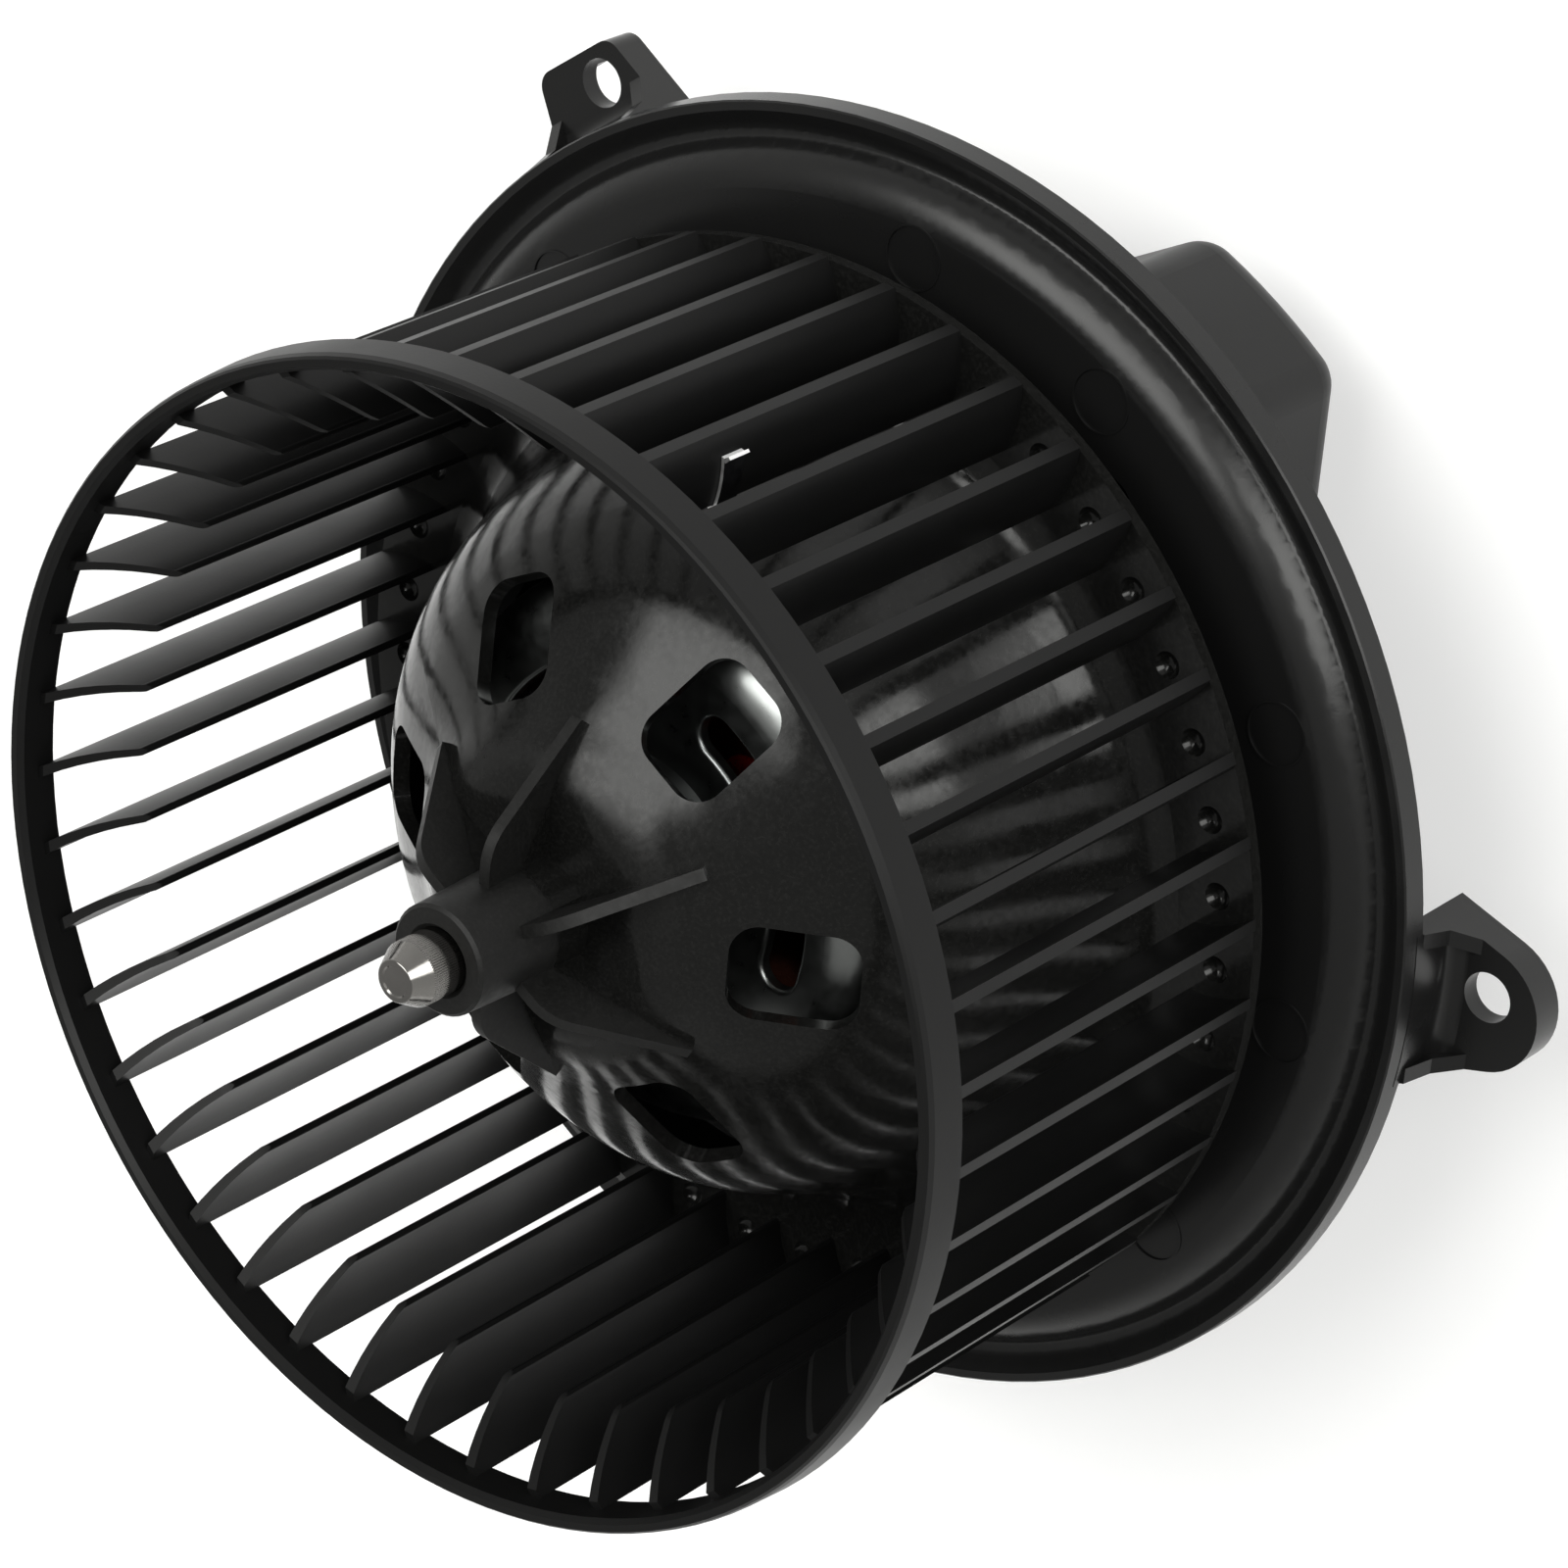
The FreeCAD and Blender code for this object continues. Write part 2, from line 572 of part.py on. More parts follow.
def suppression_chokes():
    """Two ferrite rods wound with thick enamelled wire, lying on the brush card."""
    z = CARD_Z[1] + 3.4
    parts = []
    for s in (-1, 1):
        rod = Part.makeCylinder(2.0, 14.0, V(-7, s * 26.5, z), V(1, 0, 0))
        coils = [Part.makeTorus(2.6, 0.62, V(-5.0 + 1.1 * k, s * 26.5, z), V(1, 0, 0))
                 for k in range(10)]
        parts.append(fuse([rod] + coils))
    return Part.makeCompound(parts)


# ---- flange housing and cover -------------------------------------------------------------

def flange_dish():
    """Deck, convex shoulder, groove and outer lip, of even thickness, turned about the axis."""
    top = [V(COLLAR_R[0], 0, DECK_Z), V(DECK_R, 0, DECK_Z)]
    knots = [(DECK_R, DECK_Z, 0.0), *SHOULDER, (GROOVE_R, GROOVE_Z, 0.0),
             (LIP_IN_R, LIP_IN_Z, -LIP_IN_SLOPE)]
    curve = Part.BSplineCurve()
    curve.interpolate(Points=[V(r, 0, z) for r, z, _ in knots],
                      Tangents=[V(math.cos(math.radians(fall)), 0, -math.sin(math.radians(fall)))
                                for _, _, fall in knots],
                      TangentFlags=[True] * len(knots))
    under_r = GROOVE_R - 0.6
    rest = [V(LIP_IN_R, 0, LIP_IN_Z), V(LIP_IN_R + 0.3, 0, 0), V(LIP_R - 0.2, 0, 0),
            V(LIP_R, 0, -0.2), V(SKIRT_R, 0, SKIRT_Z), V(SKIRT_R - 1.6, 0, SKIRT_Z),
            V(SKIRT_R - 2.0, 0, GROOVE_Z - 0.4), V(under_r, 0, GROOVE_Z - DECK_T + 0.4),
            V(DECK_R - 0.6, 0, DECK_Z - DECK_T), V(COLLAR_R[0], 0, DECK_Z - DECK_T), top[0]]
    edges = [Part.makeLine(top[0], top[1]), curve.toShape()]
    edges += [Part.makeLine(a, b) for a, b in zip(rest, rest[1:])]
    return Part.Face(Part.Wire(edges)).revolve(V(0, 0, 0), Z, 360)


def ear_web():
    """Skirt extension behind the ear, with a hollow fillet down to the ear's face."""
    r, low, b = SKIRT_R, EAR_FRONT, EAR_BLEND
    corners = [V(r, 0, low + b), V(r, 0, SKIRT_Z + 1.0), V(r - 1.9, 0, SKIRT_Z + 1.0),
               V(r - 1.9, 0, EAR_BACK), V(r, 0, EAR_BACK), V(r, 0, low - 0.5),
               V(r + b, 0, low - 0.5), V(r + b, 0, low)]
    edges = [Part.makeLine(p, q) for p, q in zip(corners, corners[1:])]
    bend = b * (1 - math.cos(math.pi / 4))
    edges.append(Part.Arc(corners[-1], V(r + bend, 0, low + bend), corners[0]).toShape())
    return turned(Part.Face(Part.Wire(edges)).revolve(V(0, 0, 0), Z, 60), -30)


def ear(outline, angle):
    """Screw ear along +X: a plate with a rim wall behind it and two gussets up to the skirt."""
    full = outline(EAR_BACK, EAR_FRONT, 0)
    pocket = outline(EAR_BACK - 1, EAR_FRONT - EAR_PLATE_T, EAR_WALL)
    web = outline(EAR_BACK, SKIRT_Z + 1.0, 0).common(ear_web())
    tall = outline(EAR_FRONT - 1, SKIRT_Z - 0.2, 0)
    room = outline(EAR_FRONT - 2, SKIRT_Z + 1, EAR_WALL)
    ramp = face_from([(SKIRT_R - 1.2, EAR_FRONT - 1), (SKIRT_R + 3.8, EAR_FRONT - 1),
                      (SKIRT_R + 3.8, EAR_FRONT), (SKIRT_R + 0.8, EAR_FRONT + 2.4),
                      (SKIRT_R - 0.3, SKIRT_Z - 0.2), (SKIRT_R - 1.2, SKIRT_Z - 0.2)])
    ramp = ramp.extrude(V(0, 60, 0)).translate(V(0, -30, 0))
    gussets = tall.cut(room).common(ramp)
    inside = disc(SKIRT_R - 1.9, EAR_BACK - 2, 0)
    hole = disc(EAR_HOLE_R, EAR_BACK - 1, EAR_FRONT + 1, EAR_HOLE_CIRCLE)
    return turned(cut(fuse([full.cut(pocket), gussets, web]), [inside, hole]), angle)


def round_ear(shift):
    """Outline with a half-round end, set over to one side, and flared sides."""
    def outline(z0, z1, inset):
        r = EAR_END_R - inset
        lean = math.radians(EAR_FLARE)
        x = EAR_END_X + r * math.sin(lean)
        touch = r * math.cos(lean)
        foot = touch + (x - EAR_BASE) * math.tan(lean)
        flat = prism([(EAR_BASE, shift - foot), (x, shift - touch), (x, shift + touch),
                      (EAR_BASE, shift + foot)], z0, z1)
        return fuse([flat, disc(r, z0, z1, EAR_END_X, shift)])
    return outline


def square_ear(z0, z1, inset):
    """Outline with a flat end, rounded corners and flared sides."""
    end = SQUARE_EAR_END - inset
    low, high = [[(x, offset + sign * ((SQUARE_EAR_END - x) * math.tan(math.radians(flare))
                                       - inset / math.cos(math.radians(flare))))
                  for x in (EAR_BASE, end)]
                 for sign, (offset, flare) in ((-1, SQUARE_EAR_LOW), (1, SQUARE_EAR_HIGH))]
    s = prism([low[0], low[1], high[1], high[0]], z0, z1)
    return fillet_upright(s, SQUARE_EAR_CORNER - inset / 2, lambda p: p.x > end - 0.5)


def flange_housing():
    collar = tube(COLLAR_R[0], COLLAR_R[1], DECK_Z - DECK_T, COLLAR_Z[1])
    spigot = tube(COLLAR_R[0], CUP_R[0] - 0.3, COLLAR_Z[0], DECK_Z - DECK_T)
    lead = tube(COLLAR_R[0], COLLAR_R[0] + 0.8, COLLAR_Z[1] - 0.8, COLLAR_Z[1] + 0.1)
    webs = ring_of(face_from([(COLLAR_R[1] - 0.5, DECK_Z - 0.5), (COLLAR_R[1] + 5.0, DECK_Z - 0.5),
                              (COLLAR_R[1] - 0.5, COLLAR_Z[1] - 3.0)])
                   .extrude(V(0, 1.6, 0)).translate(V(0, -0.8, 0)), 8, 11.0)
    back = ring_of(face_from([(COVER_FLANGE_R + 1.0, DECK_Z - DECK_T + 0.3),
                              (SKIRT_R - 1.7, GROOVE_Z - 1.0), (SKIRT_R - 1.7, SKIRT_Z),
                              (COVER_FLANGE_R + 1.0, SKIRT_Z)])
                   .extrude(V(0, 1.5, 0)).translate(V(0, -0.75, 0)), BACK_RIBS, 11.0)
    bosses = [turned(disc(4.0, DECK_Z - 0.5, DECK_Z + 4.6, COVER_SCREW_R), a)
              for a in COVER_SCREW_ANGLES]
    s = fuse([flange_dish(), collar, spigot] + webs + back + bosses)
    pilot = [turned(disc(1.7, DECK_Z - DECK_T - 1, DECK_Z + 3.8, COVER_SCREW_R), a)
             for a in COVER_SCREW_ANGLES]
    a, b = DUCT_INLET
    inlet = turned(fillet_upright(block(a, b, -DUCT_INLET_HALF, DUCT_INLET_HALF,
                                        SKIRT_Z - 1, DECK_Z + 1), 3.0), DUCT_ANGLE)
    r, depth = DECK_MARK
    mark = disc(r, DECK_Z - depth, DECK_Z + 1, DECK_MARK_CIRCLE)
    width, height = DECK_FLASH
    flash = disc(r + width, DECK_Z - depth, DECK_Z + height, DECK_MARK_CIRCLE)
    s = fuse([s] + [turned(flash, m) for m in DECK_MARK_ANGLES])
    marks = [turned(mark, m) for m in DECK_MARK_ANGLES]
    wall_window = turned(block(COLLAR_R[0] - 3, CUP_R[0] + 1, -11, 11, COLLAR_Z[0] - 1,
                               DUCT_Z[1] - 1.5), DUCT_ANGLE)
    s = cut(s, [lead, inlet, wall_window] + pilot + marks)
    ears = [ear(square_ear, -EAR_SIDE_ANGLE), ear(round_ear(-1.65), 180 + EAR_SIDE_ANGLE),
            ear(round_ear(0.0), 90)]
    return fuse([s] + ears)


def duct_outline(z0, z1, inset):
    """Plan of the duct along +X: sides that close in, and an end bowed about the fan axis."""
    wide = DUCT_HALF - inset
    slope = math.tan(math.radians(DUCT_TAPER))
    narrow = wide - (DUCT_END - DUCT_SHOULDER) * slope
    s = prism([(DUCT_BASE, -wide), (DUCT_SHOULDER, -wide), (DUCT_END, -narrow),
               (DUCT_END, narrow), (DUCT_SHOULDER, wide), (DUCT_BASE, wide)], z0, z1)
    s = s.common(disc(DUCT_END - inset, z0, z1))
    return fillet_upright(s, DUCT_CORNER - inset, lambda p: p.x > DUCT_SHOULDER - 1)


def motor_cover():
    r_in, r_out = CUP_R
    cup = disc(r_out, CUP_Z, COVER_FLANGE_Z[1])
    cup = cup.makeFillet(CUP_EDGE_R, [e for e in cup.Edges if e.BoundBox.ZMax < CUP_Z + 0.01])
    rim = disc(COVER_FLANGE_R, *COVER_FLANGE_Z)
    low, high = DUCT_Z
    duct = duct_outline(low, high, 0)
    duct = duct.makeFillet(DUCT_BOTTOM_R, [e for e in duct.Edges if e.BoundBox.ZMax < low + 0.01
                                           and e.BoundBox.XMax > DUCT_BASE + 1])
    a, b = DUCT_INLET
    chimney = block(a - DUCT_WALL, b + DUCT_WALL, -DUCT_INLET_HALF - DUCT_WALL,
                    DUCT_INLET_HALF + DUCT_WALL, high - 1, COVER_FLANGE_Z[1])
    body = fuse([cup, rim, turned(fuse([duct, chimney]), DUCT_ANGLE)])
    hollow = disc(r_in, CUP_Z + CUP_FLOOR, 1)
    passage = duct_outline(low + DUCT_WALL, high - DUCT_WALL, DUCT_WALL)
    throat = block(a, b, -DUCT_INLET_HALF, DUCT_INLET_HALF, high - 5, 1)
    holes = [turned(disc(2.3, -9, 1, COVER_SCREW_R), m) for m in COVER_SCREW_ANGLES]
    w, h = SOCKET_SIZE[0] / 2 + 0.15, SOCKET_SIZE[1] / 2 + 0.15
    window = block(-w, w, r_in - 6, r_out + 4, SOCKET_Z - h, SOCKET_Z + h)
    body = cut(body, [hollow, turned(fuse([passage, throat]), DUCT_ANGLE), window] + holes)
    well = tube(BELL_BOSS_R + 1.6, BELL_BOSS_R + 3.4, CUP_Z + 1, CUP_Z + CUP_FLOOR + 2.5)
    feet = ring_of(tube(26.0, 34.0, CUP_Z - 1.0, CUP_Z + 0.5, 40, -20), 4, 45)
    return fuse([body, well] + feet)


def cover_screws():
    """Pan-head self-tapping screws with a cross recess, driven from the back."""
    top = COVER_FLANGE_Z[0] - 0.05
    head = revolve([(0, top - 2.4), (2.6, top - 2.4), (3.8, top - 1.4), (3.8, top), (0, top)])
    shank = disc(1.65, top, DECK_Z + 3.2)
    recess = [block(-1.9, 1.9, -0.45, 0.45, top - 3, top - 1.1),
              block(-0.45, 0.45, -1.9, 1.9, top - 3, top - 1.1)]
    screw = cut(fuse([head, shank]), recess)
    screw.translate(V(COVER_SCREW_R, 0, 0))
    return Part.makeCompound([turned(screw, a) for a in COVER_SCREW_ANGLES])


def connector_socket():
    w, h = SOCKET_SIZE[0] / 2, SOCKET_SIZE[1] / 2
    y0, y1 = SOCKET_Y
    outer = block(-w, w, y0, y1, SOCKET_Z - h, SOCKET_Z + h)
    outer = outer.makeFillet(1.5, [e for e in outer.Edges if e.BoundBox.YLength > y1 - y0 - 0.1])
    collar = block(-w - 1.8, w + 1.8, CUP_R[1] + 0.2, CUP_R[1] + 2.2, SOCKET_Z - h - 1.2,
                   SOCKET_Z + h + 1.8)
    key = block(-2.5, 2.5, y0 + 12, y1 - 1, SOCKET_Z + h - 0.5, SOCKET_Z + h + 1.4)
    t = SOCKET_WALL
    cavity = block(-w + t, w - t, y0 + 8.0, y1 + 1, SOCKET_Z - h + t, SOCKET_Z + h - t)
    slots = [block(s * TERMINAL_X - TERMINAL[0] / 2, s * TERMINAL_X + TERMINAL[0] / 2, y0 - 1,
                   y0 + 9, SOCKET_Z - TERMINAL[1] / 2, SOCKET_Z + TERMINAL[1] / 2)
             for s in (-1, 1)]
    return cut(fuse([outer, collar, key]), [cavity] + slots)


def terminal_blades():
    y0, y1 = SOCKET_Y
    blades = []
    for s in (-1, 1):
        x = s * TERMINAL_X
        bar = block(x - TERMINAL[0] / 2, x + TERMINAL[0] / 2, y0, y1 - 4.0,
                    SOCKET_Z - TERMINAL[1] / 2, SOCKET_Z + TERMINAL[1] / 2)
        tip = [e for e in bar.Edges if e.BoundBox.YMin > y1 - 4.01
               and e.BoundBox.ZLength > TERMINAL[1] - 0.01]
        blades.append(bar.makeFillet(1.2, tip))
    return Part.makeCompound(blades)


def side_isolators():
    pad = fuse([tube(CAN_R, COLLAR_R[0], -6.0, 17.0, 32, -16),
                tube(CAN_R, COLLAR_R[1] - 0.4, COLLAR_Z[1], COLLAR_Z[1] + 2.0, 32, -16),
                tube(CAN_R, COLLAR_R[0], 16.0, COLLAR_Z[1] + 1.0, 32, -16)])
    return Part.makeCompound(ring_of(pad, 3, 30.0))


def rear_isolator():
    """Rubber ring between the end plate and the cover's floor."""
    return tube(27.0, 33.5, CUP_Z + CUP_FLOOR, BELL_Z[0])


# ---- write every node ---------------------------------------------------------------------

NODES = {
    "flange_housing": flange_housing,
    "motor_cover": motor_cover,
    "cover_screws": cover_screws,
    "connector_socket": connector_socket,
    "terminal_blades": terminal_blades,
    "side_isolators": side_isolators,
    "rear_isolator": rear_isolator,
    "motor_can": motor_can,
    "end_bell": end_bell,
    "magnet_left": lambda: turned(magnet(), 180),
    "magnet_right": magnet,
    "magnet_springs": magnet_springs,
    "front_bearing": lambda: bush(CAN_Z[1] - 1.5, CAN_BOSS_TOP - 1.2),
    "rear_bearing": lambda: bush(BELL_BOSS_END + 1.4, BELL_Z[1] - 0.5),
    "front_bearing_retainer": lambda: bush_retainer(CAN_Z[1] - CAN_WALL - 0.5),
    "rear_bearing_retainer": lambda: bush_retainer(BELL_Z[1]),
    "brush_card": brush_card,
    "brush_holder_a": brush_holder,
    "brush_holder_b": lambda: turned(brush_holder(), 180),
    "brush_a": brush,
    "brush_b": lambda: turned(brush(), 180),
    "brush_spring_a": brush_spring,
    "brush_spring_b": lambda: turned(brush_spring(), 180),
    "suppression_chokes": suppression_chokes,
    "shaft": shaft,
    "armature_core": armature_core,
    "windings": windings,
    "commutator_hub": commutator_hub,
    "commutator_bars": commutator_bars,
    "thrust_washers": thrust_washers,
    "fan_hub": fan_hub,
    "fan_blades": fan_blades,
    "fan_rim": fan_rim,
    "balance_clip": balance_clip,
}

os.makedirs("parts", exist_ok=True)
for node, make in NODES.items():
    save(node, make())
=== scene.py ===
import json
import math

import bpy
from mathutils import Matrix, Vector


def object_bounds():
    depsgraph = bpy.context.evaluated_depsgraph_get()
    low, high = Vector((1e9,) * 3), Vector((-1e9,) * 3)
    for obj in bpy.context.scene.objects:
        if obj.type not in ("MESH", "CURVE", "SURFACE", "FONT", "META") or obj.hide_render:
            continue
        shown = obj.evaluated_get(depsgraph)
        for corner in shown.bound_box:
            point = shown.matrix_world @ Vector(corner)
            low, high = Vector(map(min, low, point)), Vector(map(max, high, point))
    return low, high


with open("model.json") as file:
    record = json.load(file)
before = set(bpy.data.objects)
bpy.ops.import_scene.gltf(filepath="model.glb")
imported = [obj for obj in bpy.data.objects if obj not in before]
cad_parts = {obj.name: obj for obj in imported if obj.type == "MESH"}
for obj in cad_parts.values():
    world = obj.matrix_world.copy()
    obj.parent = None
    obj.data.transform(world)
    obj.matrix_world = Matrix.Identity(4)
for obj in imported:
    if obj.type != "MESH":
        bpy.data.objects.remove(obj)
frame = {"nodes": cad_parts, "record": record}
cad_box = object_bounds()
X_AXIS, Y_AXIS, Z_AXIS = (1, 0, 0), (0, 1, 0), (0, 0, 1)

# ---- camera: a long lens, looking down on the wheel's eye and rolled over -------------------

VIEW_AIM = Vector((0.00434, 0.00403, 0.00555))
VIEW_AZIMUTH = math.radians(-113.55)
VIEW_ELEVATION = math.radians(44.368)
VIEW_DISTANCE = 0.69778
VIEW_ROLL = math.radians(-116.085)
LENS_MM = 132.42
SENSOR_MM = 36.0
CLIP_START = 0.01
SHIFT = (0.00234, -0.00929)


def make_camera():
    data = bpy.data.cameras.new("camera")
    data.lens = LENS_MM
    data.sensor_width = SENSOR_MM
    data.shift_x, data.shift_y = SHIFT
    data.clip_start = CLIP_START
    obj = bpy.data.objects.new("camera", data)
    bpy.context.scene.collection.objects.link(obj)
    away = Vector((math.cos(VIEW_ELEVATION) * math.cos(VIEW_AZIMUTH),
                   math.cos(VIEW_ELEVATION) * math.sin(VIEW_AZIMUTH),
                   math.sin(VIEW_ELEVATION)))
    turn = (-away).to_track_quat("-Z", "Y").to_matrix().to_4x4()
    place = Matrix.Translation(VIEW_AIM + away * VIEW_DISTANCE)
    obj.matrix_world = place @ turn @ Matrix.Rotation(VIEW_ROLL, 4, "Z")
    bpy.context.scene.camera = obj


make_camera()
bpy.context.scene.view_settings.view_transform = "Standard"

# ---- studio ---------------------------------------------------------------------------------

HORIZON_GLOW = 0.8
ZENITH_GLOW = 0.4
SKY_BLEND = (0.12, 0.6)         # sine of the elevation where the glow starts and ends its change
FLOOR_SIZE = 12.0
FLOOR_GREY = 0.62
FLOOR_GLOW = 0.42
SOFTBOX_GLOW = 6.0
LIGHT_TINT = (1.0, 1.0, 0.975, 1)
# azimuth and elevation of each softbox, and its half width and half height as tangents
SOFTBOXES = ((-119.0, 23.0, 0.28, 0.43), (-50.0, 58.0, 0.38, 0.27))
SOFT_EDGE = 0.09
BOX_FRONT = (0.1, 0.3)          # cosine from a softbox's middle where its glow comes up


def floor():
    """A pale matt floor under the lowest point of the part."""
    bpy.ops.mesh.primitive_plane_add(size=FLOOR_SIZE, location=(0, 0, cad_box[0][2]))
    obj = bpy.context.object
    obj.name = "floor"
    mat, tree, shader = new_material("floor")
    shader.inputs["Base Color"].default_value = (FLOOR_GREY, FLOOR_GREY, FLOOR_GREY, 1)
    shader.inputs["Roughness"].default_value = 1.0
    shader.inputs["Specular IOR Level"].default_value = 0.0
    shader.inputs["Emission Color"].default_value = (1, 1, 1, 1)
    shader.inputs["Emission Strength"].default_value = FLOOR_GLOW
    obj.data.materials.append(mat)


def math_node(tree, operation, *values):
    """A Math node on sockets or plain numbers."""
    node = tree.nodes.new("ShaderNodeMath")
    node.operation = operation
    for socket, value in zip(node.inputs, values):
        if isinstance(value, (int, float)):
            socket.default_value = value
        else:
            tree.links.new(value, socket)
    return node.outputs["Value"]


def along(tree, direction, axis):
    """The part of a vector that lies along an axis."""
    node = tree.nodes.new("ShaderNodeVectorMath")
    node.operation = "DOT_PRODUCT"
    tree.links.new(direction, node.inputs[0])
    node.inputs[1].default_value = axis
    return node.outputs["Value"]


def softbox(tree, direction, azimuth, elevation, half_width, half_height):
    """A soft-edged bright rectangle on the sky, as the glow that it adds."""
    a, e = math.radians(azimuth), math.radians(elevation)
    centre = Vector((math.cos(e) * math.cos(a), math.cos(e) * math.sin(a), math.sin(e)))
    across = Vector((-math.sin(a), math.cos(a), 0))
    ahead = along(tree, direction, centre)
    glow = remap(tree, ahead, *BOX_FRONT, 0, SOFTBOX_GLOW)
    for axis, half in ((across, half_width), (centre.cross(across), half_height)):
        offset = math_node(tree, "DIVIDE", along(tree, direction, axis), ahead)
        fade = remap(tree, math_node(tree, "ABSOLUTE", offset), half - SOFT_EDGE,
                     half + SOFT_EDGE, 1, 0, "SMOOTHSTEP")
        glow = math_node(tree, "MULTIPLY", glow, fade)
    return glow


def studio():
    """A white tent, pale round the horizon and dimmer overhead, with two softboxes."""
    world = bpy.data.worlds.new("studio")
    world.use_nodes = True
    tree = world.node_tree
    direction = tree.nodes.new("ShaderNodeTexCoord").outputs["Generated"]
    glow = remap(tree, along(tree, direction, Z_AXIS), *SKY_BLEND, HORIZON_GLOW, ZENITH_GLOW)
    for place in SOFTBOXES:
        glow = math_node(tree, "ADD", glow, softbox(tree, direction, *place))
    tree.links.new(glow, tree.nodes["Background"].inputs["Strength"])
    tree.nodes["Background"].inputs["Color"].default_value = LIGHT_TINT
    bpy.context.scene.world = world
    floor()


# ---- materials ------------------------------------------------------------------------------

NOISE_BAND = (0.3, 0.7)         # where nearly all values of the noise lie
GRAIN_SCALE = 2400.0            # cycles per metre
GRAIN_STRENGTH = 0.3


def new_material(name):
    mat = bpy.data.materials.new(name)
    mat.use_nodes = True
    return mat, mat.node_tree, mat.node_tree.nodes["Principled BSDF"]


def noise(tree, scale, detail=4.0, stretch=(1, 1, 1)):
    """Noise in the object's own coordinates, in cycles per metre."""
    coords = tree.nodes.new("ShaderNodeTexCoord")
    mapping = tree.nodes.new("ShaderNodeMapping")
    mapping.inputs["Scale"].default_value = stretch
    tex = tree.nodes.new("ShaderNodeTexNoise")
    tex.inputs["Scale"].default_value = scale
    tex.inputs["Detail"].default_value = detail
    tree.links.new(coords.outputs["Object"], mapping.inputs["Vector"])
    tree.links.new(mapping.outputs["Vector"], tex.inputs["Vector"])
    return tex.outputs["Fac"]


def remap(tree, value, low_in, high_in, low_out, high_out, curve="LINEAR"):
    node = tree.nodes.new("ShaderNodeMapRange")
    node.interpolation_type = curve
    node.inputs["From Min"].default_value = low_in
    node.inputs["From Max"].default_value = high_in
    node.inputs["To Min"].default_value = low_out
    node.inputs["To Max"].default_value = high_out
    tree.links.new(value, node.inputs["Value"])
    return node.outputs["Result"]


def blend_colour(tree, factor, *colours):
    """A mix of two colours, each given as a triple or as a socket."""
    node = tree.nodes.new("ShaderNodeMix")
    node.data_type = "RGBA"
    tree.links.new(factor, node.inputs[0])
    for socket, colour in zip(node.inputs[6:8], colours):       # the Mix node's A and B colours
        if isinstance(colour, tuple):
            socket.default_value = (*colour, 1)
        else:
            tree.links.new(colour, socket)
    return node.outputs[2]


def bump(tree, shader, height, strength, distance):
    node = tree.nodes.new("ShaderNodeBump")
    node.inputs["Strength"].default_value = strength
    node.inputs["Distance"].default_value = distance
    tree.links.new(height, node.inputs["Height"])
    tree.links.new(node.outputs["Normal"], shader.inputs["Normal"])


def moulded_plastic(name, grey, shine, rough, cloud_scale, grain_depth):
    """Glass-filled black plastic: a slow cloudy sheen under a very fine grain."""
    mat, tree, shader = new_material(name)
    shader.inputs["Base Color"].default_value = (grey, grey, grey, 1)
    shader.inputs["Specular IOR Level"].default_value = shine
    cloud = noise(tree, cloud_scale, 6.0)
    tree.links.new(remap(tree, cloud, *NOISE_BAND, *rough), shader.inputs["Roughness"])
    bump(tree, shader, noise(tree, GRAIN_SCALE, 2.0), GRAIN_STRENGTH, grain_depth)
    return mat


def hub_plastic(name, greys, shine, gloss, satin, boundary):
    """The dome comes from a polished mould; the boss and ribs that rise over it are satin."""
    mat, tree, shader = new_material(name)
    shader.inputs["Specular IOR Level"].default_value = shine
    coords = tree.nodes.new("ShaderNodeTexCoord").outputs["Object"]
    height = along(tree, coords, Z_AXIS)
    squares = [math_node(tree, "POWER", along(tree, coords, axis), 2.0)
               for axis in (X_AXIS, Y_AXIS)]
    radius = math_node(tree, "SQRT", math_node(tree, "ADD", *squares))
    level = math_node(tree, "ADD", height, math_node(tree, "MULTIPLY", radius, DOME_SLOPE))
    rise = remap(tree, level, *boundary, 0, satin - gloss[0])
    fine = noise(tree, HUB_GRAIN_SCALE, 4.0)
    mottle = math_node(tree, "MULTIPLY", noise(tree, HUB_CLOUD_SCALE, 6.0), fine)
    rough = remap(tree, mottle, *MOTTLE_BAND, *gloss)
    tree.links.new(math_node(tree, "ADD", rough, rise), shader.inputs["Roughness"])
    specks = remap(tree, noise(tree, SPECK_SCALE, 3.0), *SPECK_BAND, 0, 1)
    dark, dusty = [(grey, grey, grey * 0.95) for grey in greys]
    tree.links.new(blend_colour(tree, specks, dark, dusty), shader.inputs["Base Color"])
    bump(tree, shader, fine, HUB_GRAIN_STRENGTH, HUB_GRAIN_DEPTH)
    return mat


def edge_highlight_steel(name, face, edge, sheet_normal):
    """Dark spring sheet whose edges are coloured bright as a painted highlight; sheet_normal is
    square to its faces.
    """
    mat, tree, shader = new_material(name)
    shader.inputs["Metallic"].default_value = 1.0
    normal = tree.nodes.new("ShaderNodeTexCoord").outputs["Normal"]
    square = math_node(tree, "ABSOLUTE", along(tree, normal, sheet_normal))
    # painted highlight: the edges get the bright colour, the faces the dark one
    colour = blend_colour(tree, remap(tree, square, *PAINTED_HIGHLIGHT_EDGE, 0, 1), edge, face)
    tree.links.new(colour, shader.inputs["Base Color"])
    fine = noise(tree, SHEET_GRAIN_SCALE, 3.0)
    tree.links.new(remap(tree, fine, *NOISE_BAND, *SHEET_ROUGH), shader.inputs["Roughness"])
    bump(tree, shader, fine, GRAIN_STRENGTH, SHEET_GRAIN_DEPTH)
    return mat


